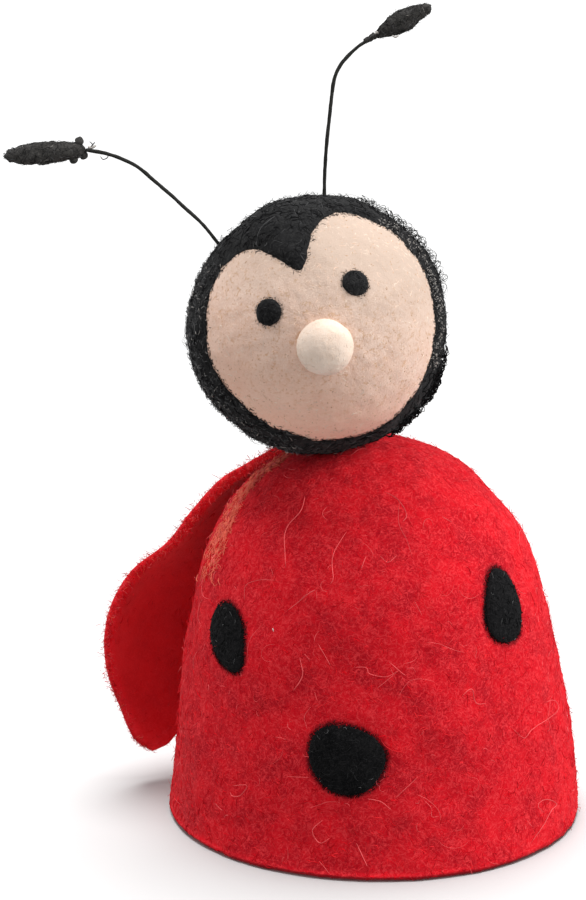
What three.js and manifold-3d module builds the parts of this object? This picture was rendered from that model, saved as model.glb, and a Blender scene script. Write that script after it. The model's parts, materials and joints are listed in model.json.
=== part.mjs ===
// A ladybird egg cosy in wool felt: a hollow red dome with spots and two wings, under a ball head
// with a black hood and two thread-wrapped wire antennae.
// Millimetres, +Z up, the face looks along -Y. Everything is laid out from the centre of the hem, and
// the finished cosy is shifted so that its box stands centred on the origin.

import * as THREE from "three";
import { mergeVertices } from "three/addons/utils/BufferGeometryUtils.js";
import Module from "manifold-3d";

const wasm = await Module();
wasm.setup();

// Driving dimensions
const clearance = 0.3; // between two pieces that touch
const hem = { diameter: 72.75, outerRound: 0.9, innerRound: 0.8 };
const dome = { height: 68.5, flare: 9.3, wall: 3.5, wallCurve: 5.83, roofCurve: 1.49, crown: 10 };
const domeLean = { x: -2.4, y: 0.21 }; // of its top
const spotFelt = { height: 0.7, roundness: 3 };
const lensRim = { from: 0.99, rise: 0.15 }; // a felt lens is thinner under its very rim
const wing = { rootThickness: 1.2, thickness: 2.0, fullBy: 2.5, hollow: 1.6, spreadCurve: 1.3 };
const head = { ballRadius: 20.4, x: -11.0, y: -3.56, z: 88.5, turn: -1.55, tip: 11.36, tilt: 17.65 };
const hood = { thickness: 1.1, under: 0.5, edgeThickness: 0.7, edgeRound: 0.15 };
const eye = { diameter: 4.5, height: 0.9, roundness: 2.4 };
const nose = { diameter: 9.2, height: 4.3, roundness: 2.2 };
const wire = { diameter: 0.5, inBall: 7.0, hole: 0.3, holeAbove: 4 };
const knotDiameter = 1.5;

// Facets
const domeFacets = { around: 44, outside: 17, inside: 11, tracing: 60 };
const spotFacets = { around: 24, rings: 8 };
const wingFacets = { across: 9, along: 26 };
const ballFacets = { around: 36, rings: 20 };
const hoodFacets = { around: 48, inward: [0, 0.1, 0.2, 0.3, 0.4, 0.5, 0.6, 0.69, 0.78, 0.87, 0.95] };
const eyeFacets = { around: 16, rings: 8 };
const noseFacets = { around: 20, rings: 12 };
const wireFacets = { around: 8, along: 24 };
const tipFacets = { around: 14 };
const knotFacets = { around: 8, rings: 6 };

// The dome is felted by hand: how far its wall stands out of true, at its right side and at its front
const domeUneven = [
  { z: 0, right: -0.9, front: 0.8 },
  { z: 6, right: -0.3, front: 0.3 },
  { z: 15, right: 0.5, front: 0 },
  { z: 26, right: 0.2, front: 0 },
  { z: 38, right: -0.2, front: 0 },
  { z: 50, right: 0.4, front: 0 },
  { z: 60, right: 0.1, front: 0 },
  { z: 68.5, right: 0, front: 0 },
];

// Spots on the dome: the centre's angle round it (0 = front, + = to the viewer's right) and height, the
// length and width of the oval, its tilt, how far one end is fuller, and how square its corners are.
const spots = [
  { name: "front", around: -13.6, z: 20.3, long: 11.6, wide: 13.0, tilt: -14.5, fuller: 0.13, square: 2.15 },
  { name: "left", around: -57.2, z: 37.1, long: 12.0, wide: 9.1, tilt: 38.5, fuller: 0.2, square: 1.9 },
  { name: "right", around: 45.2, z: 42.9, long: 12.1, wide: 9.0, tilt: -8.7, fuller: -0.2, square: 2.2 },
];

// A wing's two long edges, from its felted root at the neck down to its tip: angle round the dome from
// the front, height on the dome, and how far the middle of the sheet stands off there.
const wingRows = [
  { outerAround: 125.0, outerZ: 62.6, outerLift: 0.9, innerAround: 148.0, innerZ: 61.0, innerLift: 0.9 },
  { outerAround: 118.2, outerZ: 58.6, outerLift: 1.5, innerAround: 154.0, innerZ: 55.0, innerLift: 1.2 },
  { outerAround: 116.1, outerZ: 54.2, outerLift: 3.2, innerAround: 157.0, innerZ: 49.0, innerLift: 1.6 },
  { outerAround: 114.6, outerZ: 48.4, outerLift: 5.0, innerAround: 157.0, innerZ: 43.0, innerLift: 2.0 },
  { outerAround: 112.4, outerZ: 42.9, outerLift: 7.0, innerAround: 155.0, innerZ: 37.0, innerLift: 2.6 },
  { outerAround: 108.2, outerZ: 37.0, outerLift: 11.9, innerAround: 151.0, innerZ: 31.0, innerLift: 3.0 },
  { outerAround: 105.9, outerZ: 29.6, outerLift: 14.4, innerAround: 146.0, innerZ: 25.0, innerLift: 3.2 },
  { outerAround: 105.7, outerZ: 21.4, outerLift: 14.1, innerAround: 139.0, innerZ: 18.6, innerLift: 3.2 },
  { outerAround: 108.0, outerZ: 13.2, outerLift: 11.4, innerAround: 130.0, innerZ: 12.8, innerLift: 3.0 },
  { outerAround: 110.6, outerZ: 6.9, outerLift: 8.8, innerAround: 121.0, innerZ: 8.2, innerLift: 3.4 },
  { outerAround: 114.0, outerZ: 4.0, outerLift: 6.2, innerAround: 116.5, innerZ: 4.8, innerLift: 4.8 },
];
const wings = [
  { name: "wing_left", side: -1, backwards: 0, lower: 0, spread: 1 },
  { name: "wing_right", side: 1, backwards: 26, lower: 2, spread: 0.3 },
];

// The hood's opening round the face: direction from straight up (+ = to the viewer's right) and the
// angle between the face's centre line and the edge. The first row is the widow's peak.
const hoodEdge = [
  { around: -5.5, open: 31.0 },
  { around: 7.2, open: 38.8 },
  { around: 12.5, open: 49.3 },
  { around: 19.5, open: 59.3 },
  { around: 32.0, open: 67.8 },
  { around: 52.2, open: 73.5 },
  { around: 74.5, open: 73.4 },
  { around: 89.5, open: 70.8 },
  { around: 105.0, open: 68.0 },
  { around: 132.4, open: 67.8 },
  { around: 151.0, open: 66.0 },
  { around: 168.0, open: 67.5 },
  { around: 189.4, open: 67.5 },
  { around: 215.9, open: 61.3 },
  { around: 236.1, open: 58.5 },
  { around: 256.5, open: 61.4 },
  { around: 294.8, open: 65.0 },
  { around: 311.7, open: 68.6 },
  { around: 324.0, open: 67.3 },
  { around: 338.6, open: 54.8 },
  { around: 347.0, open: 40.6 },
];

// The head is hand-felted too: where it is fuller or flatter than a ball, and how wide each place is
const headLumps = [
  { polar: 92, around: -32, wide: 27, rise: -0.9 },
  { polar: 92, around: 152, wide: 26, rise: 0.7 },
  { polar: 92, around: 78, wide: 30, rise: 0.3 },
];

// Face features: angle from the face's centre line, and direction from straight up
const eyes = [
  { name: "eye_left", polar: 27.8, around: -53.6 },
  { name: "eye_right", polar: 27.4, around: 52.9 },
];
const nosePlace = { polar: 7.5, around: -164.0 };

// Antennae: the bent wire's route from the hood up to its wound tip, the tip's far end, and the tip's
// radius at shares of its length. The left tip has three little knots of thread at its base.
const antennae = [
  {
    name: "left",
    route: [
      [-27.1, 4.2, 101.1], [-29.8, 5.2, 104.4], [-32.4, 5.9, 106.8], [-35.1, 6.5, 109.3],
      [-37.8, 7.1, 111.6], [-40.4, 7.7, 113.8], [-43.1, 8.2, 115.2], [-45.8, 8.7, 116.1],
      [-49.4, 9.3, 116.7],
    ],
    tipEnd: [-63.0, 10.5, 115.7],
    tipShape: [
      [0, 0.7], [0.07, 1.35], [0.2, 1.55], [0.35, 1.85], [0.5, 2.0], [0.65, 1.85], [0.8, 1.4], [0.93, 0.8],
    ],
    knots: [[-50.4, 9.3, 118.5], [-51.3, 9.2, 115.1], [-49.9, 9.6, 115.5]],
  },
  {
    name: "right",
    route: [
      [-9.1, 2.5, 109.4], [-9.0, 3.0, 112.7], [-8.8, 3.2, 116.1], [-8.5, 3.4, 119.6],
      [-8.1, 3.6, 123.0], [-7.7, 3.8, 126.7], [-7.1, 3.9, 129.9], [-6.1, 4.0, 131.8],
      [-4.9, 4.1, 133.2], [-3.1, 4.1, 134.8], [-0.9, 4.1, 136.2],
    ],
    tipEnd: [8.9, 3.2, 141.3],
    tipShape: [
      [0, 0.4], [0.09, 0.7], [0.21, 1.22], [0.38, 1.7], [0.5, 1.78], [0.63, 1.6], [0.83, 1.1], [0.93, 0.75],
    ],
    knots: [],
  },
];

const redFelt = new THREE.MeshStandardMaterial({ color: 0xc4141d, roughness: 0.95, metalness: 0 });
const blackFelt = new THREE.MeshStandardMaterial({ color: 0x171719, roughness: 0.95, metalness: 0 });
const fleshFelt = new THREE.MeshStandardMaterial({ color: 0xf0c7ac, roughness: 0.95, metalness: 0 });
const creamFelt = new THREE.MeshStandardMaterial({ color: 0xf3dcc8, roughness: 0.8, metalness: 0 });
const blackThread = new THREE.MeshStandardMaterial({ color: 0x1c1c1d, roughness: 0.7, metalness: 0 });

const radians = THREE.MathUtils.degToRad;
const vector = (x, y, z) => new THREE.Vector3(x, y, z);

// Moves each point of a shape to where the function says.
function bend(geometry, place) {
  const points = geometry.attributes.position;
  for (let i = 0; i < points.count; i++) {
    const moved = place(points.getX(i), points.getY(i), points.getZ(i));
    points.setXYZ(i, moved.x, moved.y, moved.z);
  }
  return geometry;
}

// One closed body: shared points joined, faces without area dropped, and every face turned outwards.
function closed(geometry) {
  geometry.deleteAttribute("normal");
  geometry.deleteAttribute("uv");
  const merged = mergeVertices(geometry.index ? geometry.toNonIndexed() : geometry, 1e-3);
  const corners = merged.index.array;
  const at = (i) => new THREE.Vector3().fromBufferAttribute(merged.attributes.position, i);
  const faces = [];
  let volume = 0;
  for (let i = 0; i < corners.length; i += 3) {
    const [a, b, c] = [corners[i], corners[i + 1], corners[i + 2]];
    if (a === b || b === c || c === a) continue;
    faces.push([a, b, c]);
    volume += at(a).dot(at(b).cross(at(c)));
  }
  merged.setIndex(faces.flatMap(([a, b, c]) => (volume > 0 ? [a, b, c] : [a, c, b])));
  return merged;
}

function toManifold(geometry) {
  const vertProperties = new Float32Array(geometry.attributes.position.array);
  const triVerts = new Uint32Array(geometry.index.array);
  return new wasm.Manifold(new wasm.Mesh({ numProp: 3, vertProperties, triVerts }));
}

function fromManifold(body) {
  const { vertProperties, triVerts } = body.getMesh();
  const geometry = new THREE.BufferGeometry();
  geometry.setAttribute("position", new THREE.BufferAttribute(vertProperties, 3));
  geometry.setIndex(new THREE.BufferAttribute(triVerts, 1));
  return geometry;
}

const subtract = (geometry, cutter) => fromManifold(toManifold(geometry).subtract(toManifold(cutter)));
const add = (geometry, other) => fromManifold(toManifold(geometry).add(toManifold(other)));

// A smooth curve of values through a table's rows, by row number or by one of its columns.
function smooth(rows, column, by) {
  const places = rows.map((row, i) => (by ? row[by] : i));
  const curve = new THREE.CubicInterpolant(places, rows.map((row) => row[column]), 1);
  return (at) => curve.evaluate(at)[0];
}

// The dome: a super-ellipse on a wall that closes in towards the top
const hemRadius = hem.diameter / 2;
function domeRadius(z, shrink = 0) {
  const rise = THREE.MathUtils.clamp(z / (dome.height - shrink), 0, 1);
  const roof = (1 - rise ** dome.wallCurve) ** (1 / dome.roofCurve);
  return (hemRadius - shrink - dome.flare) * roof + dome.flare * (1 - rise);
}

// Points evenly along the dome's profile, from the hem to the top
function domeProfile(shrink, count) {
  const fine = [];
  for (let i = 0; i <= domeFacets.tracing; i++) {
    const quarter = ((i / domeFacets.tracing) * Math.PI) / 2;
    const z = (dome.height - shrink) * Math.sin(quarter) ** (2 / dome.wallCurve);
    fine.push(new THREE.Vector2(domeRadius(z, shrink), z));
  }
  return new THREE.SplineCurve(fine).getSpacedPoints(count);
}

const unevenRight = smooth(domeUneven, "right", "z");
const unevenFront = smooth(domeUneven, "front", "z");

// Leans a point of the true dome, and moves it out or in where the wall is uneven, less at the crown
function byHand(x, y, z) {
  const radius = Math.hypot(x, y);
  const [outX, outY] = radius > 0 ? [x / radius, y / radius] : [0, 0];
  const sideways = unevenRight(z) * Math.max(outX, 0) ** 2;
  const forwards = unevenFront(z) * Math.max(-outY, 0) ** 2;
  const grown = radius + (sideways + forwards) * Math.min(radius / dome.crown, 1);
  const rise = z / dome.height;
  return vector(grown * outX + domeLean.x * rise, grown * outY + domeLean.y * rise, z);
}

// A place on the dome's outside, lifted off it along its own normal
function onDome(around, z, lift) {
  const step = 0.5;
  const slope = (domeRadius(z + step) - domeRadius(z - step)) / (2 * step);
  const [outX, outY] = [Math.sin(radians(around)), -Math.cos(radians(around))];
  const normal = vector(outX, outY, -slope).normalize();
  const radius = domeRadius(z);
  return byHand(radius * outX, radius * outY, z).addScaledVector(normal, lift);
}

// The hollow dome: down its outside from the top, round the hem and up the inside
function domeShell() {
  const outer = domeProfile(0, domeFacets.outside);
  const inner = domeProfile(dome.wall, domeFacets.inside);
  const [{ x: innerHemRadius }] = inner;
  const quarterRound = [0, 45, 90].map((angle) => {
    const [across, down] = [1 - Math.cos(radians(angle)), 1 - Math.sin(radians(angle))];
    return new THREE.Vector2(hemRadius - across * hem.outerRound, down * hem.outerRound);
  });
  const profile = [
    ...outer.slice(1).reverse(),
    ...quarterRound,
    new THREE.Vector2(innerHemRadius + hem.innerRound, 0),
    new THREE.Vector2(innerHemRadius, hem.innerRound),
    ...inner.slice(1),
  ];
  const shell = new THREE.LatheGeometry(profile, domeFacets.around).rotateX(Math.PI / 2);
  return closed(bend(shell, byHand));
}

// The dome as a solid block grown by the clearance, to cut the head's seat with
function domeGrown() {
  const profile = [new THREE.Vector2(0, 0), ...domeProfile(-clearance, domeFacets.outside)];
  const block = new THREE.LatheGeometry(profile, domeFacets.around).rotateX(Math.PI / 2);
  return closed(bend(block, byHand));
}

// A low lens of felt: a ball whose points are laid over a surface. The place function takes sideways and
// upward distances along the surface and a lift off it.
function feltLens(place, reach, { height, roundness }, { around, rings }) {
  const ball = new THREE.SphereGeometry(1, around, rings);
  return closed(
    bend(ball, (x, y, z) => {
      const share = Math.min(Math.hypot(x, z), 1);
      const angle = Math.atan2(z, x);
      const distance = share * reach(angle);
      const crown = y > 0 ? height * (1 - share ** roundness) ** (1 / roundness) : 0;
      const rim = share > lensRim.from ? lensRim.rise : 0;
      return place(distance * Math.cos(angle), distance * Math.sin(angle), clearance + crown + rim);
    }),
  );
}

// A spot's outline: an oval that is fuller at one end, with corners between round and square
function spotReach({ long, wide, tilt, fuller, square }) {
  return (angle) => {
    const turned = angle - radians(tilt);
    const [sideways, lengthways] = [Math.cos(turned), Math.sin(turned)];
    const size = (reach) => {
      const halfWide = (wide / 2) * (1 + (fuller * lengthways * reach) / (long / 2));
      const sum = Math.abs(sideways / halfWide) ** square + Math.abs((2 * lengthways) / long) ** square;
      return sum ** (-1 / square);
    };
    return size(size(wide / 2));
  };
}

function spotOnDome(spot) {
  const radius = domeRadius(spot.z);
  const place = (sideways, upward, lift) =>
    onDome(spot.around + THREE.MathUtils.radToDeg(sideways / radius), spot.z + upward, lift);
  return feltLens(place, spotReach(spot), spotFelt, spotFacets);
}

// A wing: one sheet, hollow towards the dome, whose outer edge stands off by as much as it is spread
function wingSheet({ side, backwards, lower, spread }) {
  const edges = {};
  for (const column of Object.keys(wingRows[0])) edges[column] = smooth(wingRows, column);
  const sheet = new THREE.BoxGeometry(1, 1, 1, wingFacets.across, wingFacets.along, 1);
  return closed(
    bend(sheet, (x, y, z) => {
      const outwards = x + 0.5;
      const row = (y + 0.5) * (wingRows.length - 1);
      const mix = (inner, outer) => THREE.MathUtils.lerp(edges[inner](row), edges[outer](row), outwards);
      const inner = edges.innerLift(row);
      const rise = (edges.outerLift(row) - inner) * outwards ** wing.spreadCurve * spread;
      const belly = wing.hollow * Math.sin(Math.PI * outwards) * Math.sin(Math.PI * (y + 0.5));
      const around = side * (mix("innerAround", "outerAround") + backwards);
      const full = Math.min(row / wing.fullBy, 1);
      const thickness = THREE.MathUtils.lerp(wing.rootThickness, wing.thickness, full);
      return onDome(around, mix("innerZ", "outerZ") - lower, inner + rise + belly + z * thickness);
    }),
  );
}

// Directions in the head's own frame: the face looks along -Y and the crown is up +Z
function headDirection(polar, around) {
  const [p, a] = [radians(polar), radians(around)];
  return vector(Math.sin(p) * Math.sin(a), -Math.cos(p), Math.sin(p) * Math.cos(a));
}

// How far the head's surface stands out of a true ball in a direction
function headLump(direction) {
  let rise = 0;
  for (const lump of headLumps) {
    const away = THREE.MathUtils.radToDeg(direction.angleTo(headDirection(lump.polar, lump.around)));
    rise += lump.rise * Math.exp(-((away / lump.wide) ** 2));
  }
  return rise;
}

const onHead = (direction, radius) => direction.clone().multiplyScalar(radius + headLump(direction));

function headBall() {
  const ball = new THREE.SphereGeometry(1, ballFacets.around, ballFacets.rings).rotateX(Math.PI / 2);
  return closed(bend(ball, (x, y, z) => onHead(vector(x, y, z).normalize(), head.ballRadius)));
}

// A lens on the head's ball, with its own sideways and upward directions there
function lensOnBall({ polar, around }, form, facets) {
  const out = headDirection(polar, around);
  const sideways = vector(0, 0, 1).cross(out).normalize();
  const upward = out.clone().cross(sideways);
  const place = (right, up, lift) => {
    const along = Math.hypot(right, up) / head.ballRadius;
    const direction = out.clone().multiplyScalar(Math.cos(along));
    if (along > 0) {
      const tangent = sideways.clone().multiplyScalar(right).addScaledVector(upward, up).normalize();
      direction.addScaledVector(tangent, Math.sin(along));
    }
    return onHead(direction, head.ballRadius + lift);
  };
  return feltLens(place, () => form.diameter / 2, form, facets);
}

// The hood: a shell over the ball, from the back of the head forwards to its opening round the face
function hoodShell() {
  const inner = head.ballRadius + hood.under;
  const outer = inner + hood.thickness;
  const first = hoodEdge[0];
  const rows = [...hoodEdge, { around: first.around + 360, open: first.open }];
  const before = { ...rows[rows.length - 2], around: rows[rows.length - 2].around - 360 };
  const after = { ...rows[1], around: rows[1].around + 360 };
  const openAt = smooth([before, ...rows, after], "open", "around");
  // Each point is a share of the way to the opening, and a radius
  const outside = hoodFacets.inward.map((share) => [share, outer]);
  const edge = [[0.985, outer - hood.edgeRound], [1, inner + hood.edgeThickness / 2], [0.99, inner]];
  const inside = hoodFacets.inward.toReversed().map((share) => [share, inner]);
  const profile = [...outside, ...edge, ...inside].map(([x, y]) => new THREE.Vector2(x, y));
  const shell = new THREE.LatheGeometry(profile, hoodFacets.around);
  return closed(
    bend(shell, (x, radius, z) => {
      const turn = THREE.MathUtils.radToDeg(Math.atan2(x, z));
      const around = first.around + (turn < -1e-4 ? turn + 360 : Math.max(turn, 0));
      const polar = 180 - Math.hypot(x, z) * (180 - openAt(around));
      return onHead(headDirection(polar, around), radius);
    }),
  );
}

// Antennae, in the cosy's own frame
function antennaRoute({ route }) {
  const [root, next] = [vector(...route[0]), vector(...route[1])];
  const inwards = root.clone().sub(next).normalize();
  const start = root.clone().addScaledVector(inwards, wire.inBall);
  return { points: [start, ...route.map((point) => vector(...point))], root, inwards };
}

function antennaWire(antenna) {
  const { points } = antennaRoute(antenna);
  const last = points[points.length - 1];
  const backwards = points[points.length - 2].clone().sub(last).normalize();
  last.addScaledVector(backwards, clearance);
  const section = new THREE.Shape().absarc(0, 0, wire.diameter / 2, 0, 2 * Math.PI);
  const path = new THREE.CatmullRomCurve3(points);
  const { around, along } = wireFacets;
  const options = { extrudePath: path, steps: along, curveSegments: around / 2, bevelEnabled: false };
  return closed(new THREE.ExtrudeGeometry(section, options));
}

// The hole that the wire is pushed into, through the hood and into the ball
function antennaHole(antenna) {
  const { root, inwards } = antennaRoute(antenna);
  const depth = wire.inBall + clearance;
  const middle = root.clone().addScaledVector(inwards, (depth - wire.holeAbove) / 2);
  const radius = wire.diameter / 2 + wire.hole;
  const bore = new THREE.CylinderGeometry(radius, radius, depth + wire.holeAbove, wireFacets.around);
  bore.applyQuaternion(new THREE.Quaternion().setFromUnitVectors(vector(0, 1, 0), inwards));
  return closed(bore.translate(middle.x, middle.y, middle.z));
}

// The wound tip: a spindle from the wire's end, with its knots joined on
function antennaTip({ route, tipEnd, tipShape, knots }) {
  const base = vector(...route[route.length - 1]);
  const along = vector(...tipEnd).sub(base);
  const length = along.length();
  const profile = [
    new THREE.Vector2(0, 0),
    ...tipShape.map(([share, radius]) => new THREE.Vector2(radius, share * length)),
    new THREE.Vector2(0, length),
  ];
  const spindle = new THREE.LatheGeometry(profile, tipFacets.around);
  spindle.applyQuaternion(new THREE.Quaternion().setFromUnitVectors(vector(0, 1, 0), along.normalize()));
  let body = closed(spindle.translate(base.x, base.y, base.z));
  for (const [x, y, z] of knots) {
    const knot = new THREE.SphereGeometry(knotDiameter / 2, knotFacets.around, knotFacets.rings);
    body = add(body, closed(knot.translate(x, y, z)));
  }
  return body;
}

function piece(name, geometry, material) {
  const mesh = new THREE.Mesh(geometry, material);
  mesh.name = name;
  return mesh;
}

// The head's frame: turned a little sideways, tipped back and tilted to the viewer's left
const headGroup = new THREE.Group();
headGroup.position.set(head.x, head.y, head.z);
headGroup.rotation.set(radians(-head.tip), radians(-head.tilt), radians(head.turn), "ZXY");
headGroup.updateMatrix();
const intoHead = headGroup.matrix.clone().invert();

let hoodGeometry = subtract(hoodShell(), domeGrown().applyMatrix4(intoHead));
let ballGeometry = headBall();
for (const antenna of antennae) {
  const hole = antennaHole(antenna).applyMatrix4(intoHead);
  hoodGeometry = subtract(hoodGeometry, hole);
  ballGeometry = subtract(ballGeometry, hole);
}
headGroup.add(piece("head_ball", ballGeometry, fleshFelt));
headGroup.add(piece("hood", hoodGeometry, blackFelt));
headGroup.add(piece("nose", lensOnBall(nosePlace, nose, noseFacets), creamFelt));
for (const place of eyes) headGroup.add(piece(place.name, lensOnBall(place, eye, eyeFacets), blackFelt));

const cosy = new THREE.Group();
cosy.add(piece("body", domeShell(), redFelt));
for (const spot of spots) cosy.add(piece(`spot_${spot.name}`, spotOnDome(spot), blackFelt));
for (const row of wings) cosy.add(piece(row.name, wingSheet(row), redFelt));
cosy.add(headGroup);
for (const antenna of antennae) {
  cosy.add(piece(`antenna_${antenna.name}`, antennaWire(antenna), blackThread));
  cosy.add(piece(`antenna_tip_${antenna.name}`, antennaTip(antenna), blackThread));
}

// Stand the whole on z = 0, with the middle of its box over the origin
const box = new THREE.Box3().setFromObject(cosy, true);
const middle = box.getCenter(new THREE.Vector3());
cosy.position.set(-middle.x, -middle.y, -box.min.z);

const eggCosy = new THREE.Group();
eggCosy.add(cosy);

export default eggCosy;
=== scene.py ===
# A ladybird egg cosy in wool felt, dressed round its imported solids. Sizes are millimetres from the
# middle of the hem, as the maker's are, and turn into metres where a mesh is made.
import json
import math

import bmesh
import bpy
import numpy as np
from mathutils import Matrix, Vector, noise
from mathutils.bvhtree import BVHTree


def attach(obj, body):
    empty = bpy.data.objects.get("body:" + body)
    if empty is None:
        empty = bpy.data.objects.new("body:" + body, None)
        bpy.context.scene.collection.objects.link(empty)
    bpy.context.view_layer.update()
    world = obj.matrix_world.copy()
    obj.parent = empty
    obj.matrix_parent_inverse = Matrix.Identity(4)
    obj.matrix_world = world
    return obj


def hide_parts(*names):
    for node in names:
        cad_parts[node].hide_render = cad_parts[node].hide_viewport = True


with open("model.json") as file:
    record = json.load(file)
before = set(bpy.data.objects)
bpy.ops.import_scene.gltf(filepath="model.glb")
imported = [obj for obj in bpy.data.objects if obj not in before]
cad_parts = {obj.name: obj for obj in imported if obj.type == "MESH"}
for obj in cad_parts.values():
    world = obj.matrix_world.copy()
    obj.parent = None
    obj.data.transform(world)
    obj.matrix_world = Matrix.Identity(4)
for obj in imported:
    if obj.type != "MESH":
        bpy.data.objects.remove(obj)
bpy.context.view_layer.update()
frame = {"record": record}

# The hem stands on the floor, and its one mount is at the back of its flat ring, so the ring's own
# radius leads from the mount to the middle of the hem, which everything is laid out from.
hem_ring_radius = 34.575
mount_x, mount_y, mount_z = (metre * 1000 for metre in frame["record"]["mounts"][0]["pos_m"])
hem_middle = np.array([mount_x, mount_y - hem_ring_radius, mount_z])


def in_metres(points):
    return (np.asarray(points, float) + hem_middle) / 1000


def placed(name, data):
    """A new object in the scene."""
    thing = bpy.data.objects.new(name, data)
    bpy.context.scene.collection.objects.link(thing)
    return thing


# The camera looks a little down on the cosy and from a little to its left, as the photograph does,
# with a long lens. The sensor's long side is the picture's height.
camera_place = (-77.353, -716.791, 272.18)
camera_aim = (-14.53, 1.271, 64.961)
camera_data = bpy.data.cameras.new("camera")
camera_data.sensor_width = 36
camera_data.lens = 174.085
camera_data.clip_start = 0.01
camera = placed("camera", camera_data)
camera.location = in_metres(camera_place)
camera.rotation_euler = (Vector(camera_aim) - Vector(camera_place)).to_track_quat("-Z", "Y").to_euler()
bpy.context.scene.camera = camera

# The dome is one hollow piece of red wool, wet felted over a form to a wall of 3.5 mm. Its outline is
# a super-ellipse on a wall that closes in towards the top, a little out of true all round.
hem_radius = 36.375
hem_outer_round, hem_inner_round = 0.9, 0.8
dome_height, dome_flare, dome_wall = 68.5, 9.3, 3.5
wall_curve, roof_curve, dome_crown = 5.83, 1.49, 10
dome_lean = np.array([-2.4, 0.21])


def smooth(places, values):
    """A smooth curve through a table's values."""
    places, values = np.array(places, float), np.array(values, float)
    slopes = np.gradient(values, places)

    def curve(at):
        at = np.clip(at, places[0], places[-1])
        i = np.clip(np.searchsorted(places, at) - 1, 0, len(places) - 2)
        step = places[i + 1] - places[i]
        t = (at - places[i]) / step
        start = (1 + 2 * t) * (1 - t) ** 2 * values[i] + t * (1 - t) ** 2 * step * slopes[i]
        return start + t * t * (3 - 2 * t) * values[i + 1] + t * t * (t - 1) * step * slopes[i + 1]

    return curve


uneven_heights = [0, 6, 15, 26, 38, 50, 60, 68.5]
uneven_right = smooth(uneven_heights, [-0.9, -0.3, 0.5, 0.2, -0.2, 0.4, 0.1, 0])
uneven_front = smooth(uneven_heights, [0.8, 0.3, 0, 0, 0, 0, 0, 0])


def dome_radius(z, shrink=0.0):
    rise = np.clip(z / (dome_height - shrink), 0, 1)
    roof = (1 - rise**wall_curve) ** (1 / roof_curve)
    return (hem_radius - shrink - dome_flare) * roof + dome_flare * (1 - rise)


def by_hand(x, y, z):
    """Leans points of the true dome, and moves them out or in where its wall is uneven."""
    radius = np.hypot(x, y)
    out_x, out_y = x / np.maximum(radius, 1e-6), y / np.maximum(radius, 1e-6)
    uneven = uneven_right(z) * np.maximum(out_x, 0) ** 2 + uneven_front(z) * np.maximum(-out_y, 0) ** 2
    radius = radius + uneven * np.minimum(radius / dome_crown, 1)
    rise = z / dome_height
    return np.stack([radius * out_x + dome_lean[0] * rise, radius * out_y + dome_lean[1] * rise, z], -1)


def on_dome(around, z, lift=0.0):
    """Places on the dome's outside, lifted off it along its own normal."""
    around, z = np.asarray(around, float), np.asarray(z, float)
    slope = dome_radius(z + 0.5) - dome_radius(z - 0.5)
    turn = np.radians(around)
    across, forwards = np.sin(turn), -np.cos(turn)
    length = np.sqrt(1 + slope**2)
    normal = np.stack([across / length, forwards / length, -slope / length], -1)
    radius = dome_radius(z)
    return by_hand(radius * across, radius * forwards, z) + normal * np.asarray(lift)[..., None]


def unit(vectors):
    return vectors / np.maximum(np.linalg.norm(vectors, axis=-1, keepdims=True), 1e-9)


def lengths_along(points):
    return np.concatenate([[0], np.cumsum(np.linalg.norm(np.diff(points, axis=0), axis=1))])


def dome_profile(shrink, count):
    """Evenly spaced points of the outline from the hem to the top: columns radius and height."""
    quarter = np.linspace(0, math.pi / 2, 400)
    z = (dome_height - shrink) * np.sin(quarter) ** (2 / wall_curve)
    outline = np.stack([dome_radius(z, shrink), z], -1)
    along = lengths_along(outline)
    wanted = np.linspace(0, along[-1], count)
    return np.stack([np.interp(wanted, along, column) for column in outline.T], -1)


def felted(points, normals, lumps):
    """Pushes points in and out along their normals by lumps of wool: rows of width and height."""
    moved = np.array(points, float)
    for number, (width, height) in enumerate(lumps):
        offset = Vector((13.7 * number, 5.1, 2.3))
        push = [noise.noise(Vector(p) / width + offset) for p in points]
        moved += normals * (np.array(push) * height)[:, None]
    return moved


def surface_piece(name, grid, lumps):
    """A mesh from rings of points, with its poles joined, felted by lumps of wool."""
    rows, columns, _ = grid.shape
    i, j = np.meshgrid(np.arange(rows - 1), np.arange(columns), indexing="ij")
    after = (j + 1) % columns
    corners = [i * columns + j, i * columns + after, (i + 1) * columns + after, (i + 1) * columns + j]
    faces = np.stack(corners, -1).reshape(-1, 4)
    mesh = bpy.data.meshes.new(name)
    mesh.from_pydata(grid.reshape(-1, 3).tolist(), [], faces.tolist())
    form = bmesh.new()
    form.from_mesh(mesh)
    bmesh.ops.remove_doubles(form, verts=form.verts, dist=1e-4)
    bmesh.ops.recalc_face_normals(form, faces=form.faces)
    form.normal_update()
    points = np.array([v.co for v in form.verts])
    normals = np.array([v.normal for v in form.verts])
    for vertex, place in zip(form.verts, felted(points, normals, lumps)):
        vertex.co = (place[0], place[1], max(place[2], 0))
    form.to_mesh(mesh)
    form.free()
    mesh.shade_smooth()
    return placed(name, mesh)


def set_in_metres(piece):
    """Turns a finished piece from the maker's millimetres into metres."""
    places = np.zeros(len(piece.data.vertices) * 3)
    piece.data.vertices.foreach_get("co", places)
    piece.data.vertices.foreach_set("co", in_metres(places.reshape(-1, 3)).ravel())
    piece.data.update()


def arithmetic(operation):
    return lambda first, second: first.math(operation, first, second)


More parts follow.
